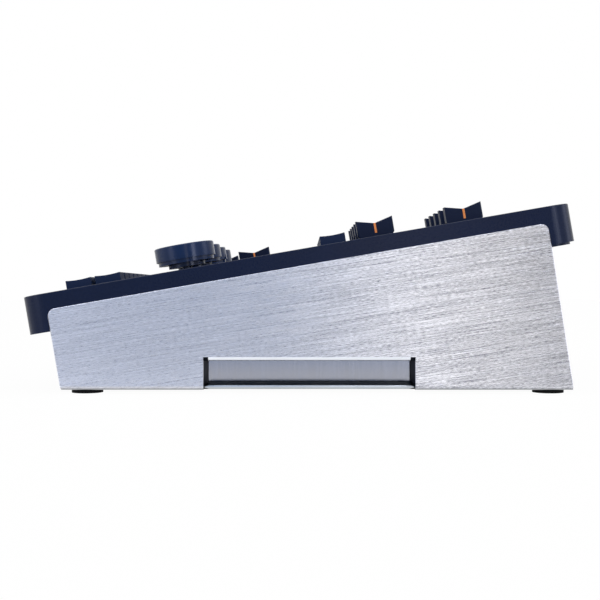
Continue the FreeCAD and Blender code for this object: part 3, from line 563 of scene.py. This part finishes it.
def knob_x(node):
    """Place of a knob across the console."""
    return Vector(JOINTS[node + "_turn"]["pos_m"]).x


def valley_bar(place, reach, half, low, top):
    """Bar along a frame's first direction, with a top that follows the valley of a fader cap."""
    edge = top + half * VALLEY_DEPTH / VALLEY_REACH
    outline = [(-half, low), (half, low), (half, edge), (0, top), (-half, edge)]
    return tube([[place(u, v, w) for v, w in outline] for u in (reach, -reach)])


def pointer_lines(finish):
    """Orange line over each fader cap: along its valley and down both of its sides."""
    half = 0.7 * MM
    height = 9.5 * MM
    for node in FADERS:
        (x0, x1), (t0, t1), _ = deck_range(node)
        x, t, top = deck_middle(node)

        def along_slope(u, v, w):
            return deck_point(x - v, t + u, w)

        def across(u, v, w):
            return deck_point(x + u, t + v, w)

        up_slope = travel_of(node)[1]
        place = across if up_slope else along_slope
        reach = (x1 - x0 if up_slope else t1 - t0) / 2 + LIFT
        shape = valley_bar(place, reach, half, top - height, top - VALLEY_DEPTH + LIFT)
        piece(node + "_pointer", [shape], finish, node)


def fader_scales(finish):
    """Printed ticks on both sides of each fader's slot."""
    ticks, long_tick = 7, 3
    gap = 6.4 * MM
    short, tall = 1.6 * MM, 2.8 * MM
    half = 0.15 * MM
    shapes = []
    for node in FADERS:
        x, t, _ = deck_middle(node)
        travel, up_slope = travel_of(node)
        for tick in range(ticks):
            along = travel * tick / (ticks - 1)
            reach = short if tick % long_tick else tall
            for side in (-1, 1):
                near, far = sorted((side * gap, side * (gap + reach)))
                if up_slope:
                    xs, ts = (x + near, x + far), (t + along - half, t + along + half)
                else:
                    xs, ts = (x + along - half, x + along + half), (t + near, t + far)
                shapes.append(deck_print(xs, ts))
    piece("fader_scales", shapes, finish, "chassis")


def knob_scales(finish):
    """Printed ticks round each knob."""
    ticks = 24
    inner, outer = 22.2 * MM, 24.2 * MM
    half = 0.2 * MM
    shapes = []
    for node in KNOBS:
        x = knob_x(node)
        for tick in range(ticks):
            angle = 2 * math.pi * tick / ticks

            def spoke(u, v, w):
                turned_x = u * math.cos(angle) - v * math.sin(angle)
                turned_t = u * math.sin(angle) + v * math.cos(angle)
                return deck_point(x + turned_x, turned_t, w)

            shapes.append(block(spoke, (inner, outer), (-half, half), (0, LIFT)))
    piece("knob_scales", shapes, finish, "chassis")


def group_frames(finish):
    """Thin printed frame round each group of controls, with room for the faders' travel."""
    half = 0.2 * MM
    groups = (
        (CHANNEL_FADERS + MID_KEYS, 9 * MM, 0, travel_of("fader_back_1")[0]),
        (FRONT_KEYS, 4 * MM, 0, 0),
        (["crossfader"], 14 * MM, travel_of("crossfader")[0], 0),
    )
    shapes = []
    for group, margin, travel_x, travel_t in groups:
        ranges = [deck_range(node) for node in group]
        x0 = min(spans[0][0] for spans in ranges) - margin
        x1 = max(spans[0][1] for spans in ranges) + margin + travel_x
        t0 = min(spans[1][0] for spans in ranges) - margin
        t1 = max(spans[1][1] for spans in ranges) + margin + travel_t
        shapes += line_frame(deck_print, (x0, x1), (t0, t1), half)
    piece("group_frames", shapes, finish, "chassis")


def knob_marks(white, dark):
    """Pale index line and thin dark ring on each knob's top."""
    half = 0.5 * MM
    index_start, index_end = 12 * MM, 18 * MM
    inner, outer = 18.6 * MM, 19.0 * MM
    for node in KNOBS:
        x = knob_x(node)
        top = deck_middle(node)[2]

        def on_top(u, v, w):
            return deck_point(x + u, v, top + w)

        index = block(on_top, (-half, half), (index_start, index_end), (0, LIFT))
        piece(node + "_index", [index], white, node)
        line = ring(on_top, inner, outer, 0, LIFT)
        piece(node + "_line", [line], dark, node)


def number_mesh(name, text, height):
    """Mesh of a thin plain number, centred on its origin."""
    curve = bpy.data.curves.new(name, "FONT")
    curve.body = text
    curve.size = height
    curve.align_x = "CENTER"
    curve.align_y = "CENTER"
    curve.extrude = LIFT / 2
    shaped = bpy.data.objects.new(name, curve)
    mesh = bpy.data.meshes.new_from_object(shaped)
    bpy.data.objects.remove(shaped)
    return mesh


def key_numbers(finish):
    """Plain numbers in the dished tops of the front keys, counted from the left in each row."""
    height = 6.5 * MM
    sunk = 0.52 * MM
    axes = Matrix((ACROSS, UP_SLOPE, NORMAL)).transposed().to_4x4()
    for place, node in enumerate(FRONT_KEYS):
        text = str(KEY_COLUMNS - place % KEY_COLUMNS)
        mesh = number_mesh(node + "_number", text, height)
        mesh.materials.append(finish)
        made = bpy.data.objects.new(node + "_number", mesh)
        bpy.context.scene.collection.objects.link(made)
        x, t, top = deck_middle(node)
        made.matrix_world = Matrix.Translation(deck_point(x, t, top - sunk)) @ axes
        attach(made, node)


def key_windows(finish):
    """Narrow light window in the dished top of each key of the middle row."""
    half_x, half_t = 4 * MM, 0.8 * MM
    deep, sunk = 0.62 * MM, 0.5 * MM
    for node in MID_KEYS:
        x, t, top = deck_middle(node)
        xs, ts = (x - half_x, x + half_x), (t - half_t, t + half_t)
        shape = block(deck_point, xs, ts, (top - deep, top - sunk))
        piece(node + "_window", [shape], finish, node)


# Pieces on the case

def bowed_plate(sign, back, ys, zs):
    """Plate on a hand grip's back wall, bowed so that its ends are thicker, and thicker at its foot."""
    thin = 0.4 * MM
    lean = math.tan(math.radians(1.6))
    bow_radius = 1120 * MM
    steps = 16
    middle = (ys[0] + ys[1]) / 2
    rows = []
    for step in range(steps + 1):
        y = ys[0] + (ys[1] - ys[0]) * step / steps
        bow = (y - middle) ** 2 / (2 * bow_radius)
        foot, head = [back + sign * (thin + lean * (zs[1] - z) + bow) for z in zs]
        outline = ((back, zs[0]), (foot, zs[0]), (head, zs[1]), (back, zs[1]))
        rows.append([Vector((x, y, z)) for x, z in outline])
    return tube(rows) if sign > 0 else flipped(tube(rows))


def rolled_lip(sign, ys):
    """Half-round lip along the tray's edge in a hand grip, lower at both ends."""
    edge = cad_high.x - 8 * MM
    middle, radius, bulge = 3.9 * MM, 1.35 * MM, 0.8 * MM
    turn, low_share = 3 * MM, 0.4
    steps = 8
    rows = []
    for y, share in ((ys[0], low_share), (ys[0] + turn, 1.0), (ys[1] - turn, 1.0), (ys[1], low_share)):
        angles = [math.pi * step / steps - math.pi / 2 for step in range(steps + 1)]
        outline = [(edge + bulge * math.cos(a), middle + share * radius * math.sin(a)) for a in angles]
        rows.append([Vector((sign * x, y, z)) for x, z in outline])
    return open_surface(rows) if sign < 0 else flipped(open_surface(rows))


def grip_plates(plate, lip):
    """Grey back plate and pale rolled lip in both hand grips."""
    gap = 0.3 * MM
    sharp = math.radians(30)
    for side, sign in SIDES:
        low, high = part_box(f"{side}_grip_cup")
        back = (low.x if sign > 0 else high.x) + sign * GRIP_WALL
        ys = (low.y + GRIP_WALL + gap, high.y - GRIP_WALL - gap)
        zs = (low.z + gap, high.z - GRIP_WALL - gap)
        shape = bowed_plate(sign, back, ys, zs)
        made = piece(f"{side}_grip_plate", [shape], plate, "chassis")
        made.data.shade_smooth()
        made.data.set_sharp_from_angle(angle=sharp)
        made = piece(f"{side}_grip_lip", [rolled_lip(sign, ys)], lip, "chassis")
        made.data.shade_smooth()


def fold_strip(sign, ends, level, first):
    """Strip over a side panel's folded edge, from an angle of the fold down to the edge's level."""
    steps = 10
    rows = []
    for step in range(steps + 1):
        angle = first + (math.pi / 2 - first) * step / steps
        # Off the fold by a film's thickness, but not past the panel's outer face
        radius = FOLD_RADIUS + min(LIFT, FOLD_RADIUS * (1 - math.cos(angle)))
        x = cad_high.x - FOLD_RADIUS + radius * math.cos(angle)
        z = level + FOLD_RADIUS - radius * math.sin(angle)
        rows.append([Vector((sign * x, y, z)) for y in ends])
    return open_surface(rows) if sign < 0 else flipped(open_surface(rows))


def folded_edges(painted_highlight, dark, shaded):
    """Painted highlight on the fold over each hand-grip notch between dark relief cuts, and painted shade on the
    folds along the foot.
    """
    cut = 3.2 * MM
    front, rear = NOTCH_FRONT + cut, NOTCH_REAR - cut
    # Angles of the fold at which the strips start, in radians
    whole, lower = 0.08, math.radians(38)
    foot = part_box("right_side_panel")[0].z
    corners = [vertex.co for vertex in frame["nodes"]["right_side_panel"].data.vertices]
    foot_ys = [corner.y for corner in corners if corner.z < foot + LIFT]
    edges = (
        # Painted highlight: pale metal over the notch's fold
        ("notch_edge", painted_highlight, NOTCH_TOP, whole, [(front, rear)]),
        ("notch_reliefs", dark, NOTCH_TOP, whole, [(NOTCH_FRONT, front), (rear, NOTCH_REAR)]),
        # Painted shade: darker metal on the folds along the foot
        ("foot_folds", shaded, foot, lower, [(min(foot_ys), NOTCH_FRONT), (NOTCH_REAR, max(foot_ys))]),
    )
    for side, sign in SIDES:
        for name, finish, level, first, stretches in edges:
            shapes = [fold_strip(sign, ends, level, first) for ends in stretches]
            made = piece(f"{side}_{name}", shapes, finish, "chassis")
            made.data.shade_smooth()


def web_outline(edge, inward, top):
    """Outline of a web on the deck: a square corner, and an arc round the panel's corner."""
    gap = 0.15 * MM
    steps = 8
    outline = [(edge - inward * gap, top + gap)]
    for step in range(steps + 1):
        angle = math.pi / 2 * step / steps
        t = edge + inward * (CORNER_RADIUS - (CORNER_RADIUS + gap) * math.sin(angle))
        outline.append((t, top - CORNER_RADIUS + (CORNER_RADIUS + gap) * math.cos(angle)))
    return outline


def corner_webs(finish):
    """Webs of the cover that follow the rounded top corners of the side panels."""
    thick = 2.5 * MM
    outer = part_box("top_cover")[1].x
    for side, sign in SIDES:
        _, (t0, t1), (_, top) = deck_range(f"{side}_side_panel")
        shapes = []
        for edge, inward in ((t0, 1), (t1, -1)):
            outline = web_outline(edge, inward, top)
            web = tube([[deck_point(sign * x, t, n) for t, n in outline] for x in (outer, outer - thick)])
            shapes.append(flipped(web) if sign * inward > 0 else web)
        piece(f"{side}_corner_webs", shapes, finish, "chassis")


def base_vents(finish):
    """Rows of dark films on the tray's underside: painted shade in place of vent slots."""
    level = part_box("base_tray")[0].z
    columns, pitch = 16, 9 * MM
    row_places = (-60 * MM, 40 * MM)
    half_x, half_y = 1.5 * MM, 20 * MM
    shapes = []
    for y in row_places:
        for column in range(columns):
            x = (column - (columns - 1) / 2) * pitch
            xs, ys = (x - half_x, x + half_x), (y - half_y, y + half_y)
            shapes.append(block(row_point, xs, ys, (level - LIFT, level)))
    piece("base_vents", shapes, finish, "chassis")


def display_face(screen, bar_finish):
    """Active area of the display with plain dim level bars."""
    rim, half = 12 * MM, 7 * MM
    bars, rows, spare_rows = 5, 14, 4
    fill = 0.6
    (x0, x1), (t0, t1), (_, top) = deck_range("display_module")
    xs, ts = (x0 + rim, x1 - rim), (t0 + rim, t1 - rim)
    area = block(deck_point, xs, ts, (top, top + LIFT))
    piece("display_area", [area], screen, "chassis")
    step_x = (xs[1] - xs[0]) / (bars + 1)
    step_t = (ts[1] - ts[0]) / (rows + spare_rows)
    levels = (top + LIFT, top + 2 * LIFT)
    shapes = []
    for bar in range(bars):
        x = xs[0] + step_x * (bar + 1)
        for row in range(rows - 2 * (bar % 3)):
            t = ts[0] + step_t * (row + spare_rows / 2)
            shapes.append(block(deck_point, (x - half, x + half), (t, t + fill * step_t), levels))
    piece("display_bars", shapes, bar_finish, "chassis")


# Pieces on the rear panel and the front

def channel_places():
    """Middle of each channel across the console."""
    return [deck_middle(f"fader_back_{index}")[0] for index in CHANNELS]


def socket_rings(red, pale):
    """Coloured insulators in the collars of the phono sockets."""
    collar, sunk = 8.5 * MM, 0.6 * MM
    inner, outer = 1.7 * MM, 3.5 * MM
    half_pitch = 10 * MM
    for name, finish, z in (("rca_red_rings", red, half_pitch), ("rca_pale_rings", pale, -half_pitch)):
        shapes = []
        for x in channel_places():

            def on_collar(u, v, w):
                return rear_point(x + u, collar + w, z - v)

            shapes.append(ring(on_collar, inner, outer, -sunk, LIFT))
        piece(name, shapes, finish, "chassis")


def socket_frames(finish):
    """Printed frame round each pair of phono sockets."""
    half_x, half_z = 10 * MM, 20 * MM
    half = 0.3 * MM
    shapes = []
    for x in channel_places():
        shapes += line_frame(rear_print, (x - half_x, x + half_x), (-half_z, half_z), half)
    piece("socket_frames", shapes, finish, "chassis")


def pin_sleeve(socket_x, index):
    """Sleeve on one of the three round pins of an output socket."""
    circle, inner, outer = 4.2 * MM, 0.2 * MM, 1.25 * MM
    deep = -13 * MM
    angle = math.radians(90 + 120 * index)
    x, z = socket_x + circle * math.cos(angle), circle * math.sin(angle)

    def on_pin(u, v, w):
        return rear_point(x + u, w, z - v)

    return ring(on_pin, inner, outer, deep, CONTACT_TIP, steps=16)


def blade_sleeve(index):
    """Sleeve on one of the three blades of the mains inlet, where the middle one sits higher."""
    pitch, raised = 7 * MM, 3 * MM
    half_x, half_z = 1.05 * MM, 2.05 * MM
    deep = -14 * MM
    x, z = INLET_PLACE + (index - 1) * pitch, raised * (index % 2)
    return block(rear_point, (x - half_x, x + half_x), (deep, CONTACT_TIP), (z - half_z, z + half_z))


def contact_sleeves(finish):
    """Bare metal on the contacts of the output sockets and the mains inlet."""
    shapes = [pin_sleeve(x, index) for x in OUTPUT_PLACES for index in range(3)]
    shapes += [blade_sleeve(index) for index in range(3)]
    piece("contact_sleeves", shapes, finish, "chassis")


def screw_slots(finish):
    """Dark film on each screw head of the rear panel: painted shade in place of a cross recess."""
    columns, levels = (-196 * MM, 0, 196 * MM), (-36 * MM, 33 * MM)
    long, half = 1.7 * MM, 0.35 * MM
    head = 1.4 * MM
    outs = (head, head + LIFT)
    shapes = []
    for x in columns:
        for z in levels:
            for half_x, half_z in ((long, half), (half, long)):
                xs, zs = (x - half_x, x + half_x), (z - half_z, z + half_z)
                shapes.append(block(rear_point, xs, outs, zs))
    piece("screw_slots", shapes, finish, "chassis")


def jack_ring(finish):
    """Plated face on the headphone socket's nut."""
    inner, outer = 3.3 * MM, 5.9 * MM
    low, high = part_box("phones_jack")
    x = (low.x + high.x) / 2
    _, (t0, _), (n0, n1) = deck_range("phones_jack")
    n = (n0 + n1) / 2

    def on_nut(u, v, w):
        return deck_point(x + u, t0 - w, n + v)

    piece("jack_ring", [ring(on_nut, inner, outer, 0, LIFT)], finish, "chassis")


def add_pieces(finishes):
    """Make every piece that the CAD nodes don't have."""
    orange = coated("pointer_orange", (1.0, 0.32, 0.07), 0.4, 0.3, 2500, 0.1)
    white = coated("print_white", (0.62, 0.63, 0.66), 0.5, 0.3, 2500, 0.1)
    # Dark print on the knobs, and painted shade for the screw recesses and vent slots
    dark = coated("print_dark", (0.002, 0.002, 0.003), 0.6, 0.2, 2500, 0.1)
    pale = coated("insulator_pale", (0.7, 0.7, 0.68), 0.4, 0.4, 2500, 0.1)
    red = coated("insulator_red", (0.55, 0.02, 0.02), 0.4, 0.4, 2500, 0.1)
    screen = coated("screen", (0.006, 0.010, 0.016), 0.28, 0.1, 2500, 0.02)
    bars = coated("screen_bars", (0.03, 0.16, 0.22), 0.3, 0.3, 2500, 0.02)
    dim = coated("print_dim", (0.10, 0.115, 0.16), 0.5, 0.2, 2500, 0.1)
    lip = coated("bare_edge", (0.50, 0.53, 0.56), 0.35, 0.5, 1800, 0.1, metallic=1.0)
    # Painted highlight: pale metal for the fold over each notch
    painted_highlight = coated("worn_edge", (0.85, 0.88, 0.94), 0.4, 0.5, 1800, 0.05, metallic=1.0)
    # Painted shade: darker metal for the folds along the foot
    shaded = coated("shaded_edge", (0.36, 0.37, 0.39), 0.35, 0.5, 1800, 0.05, metallic=1.0)
    pointer_lines(orange)
    fader_scales(white)
    knob_scales(white)
    knob_marks(white, dark)
    key_numbers(white)
    key_windows(white)
    grip_plates(ribbed_metal(), lip)
    folded_edges(painted_highlight, finishes["grip_metal"], shaded)
    corner_webs(finishes["cover_paint"])
    group_frames(dim)
    base_vents(dark)
    display_face(screen, bars)
    socket_rings(red, pale)
    socket_frames(pale)
    contact_sleeves(finishes["socket_metal"])
    screw_slots(dark)
    jack_ring(finishes["socket_metal"])


bpy.context.scene.view_settings.view_transform = "Standard"
place_camera()
light_world()
lay_floor()
side_cards()
far_strips()
overhead_strip()
light_lamp()
slot_finishes = make_finishes()
dress_nodes(slot_finishes)
add_pieces(slot_finishes)
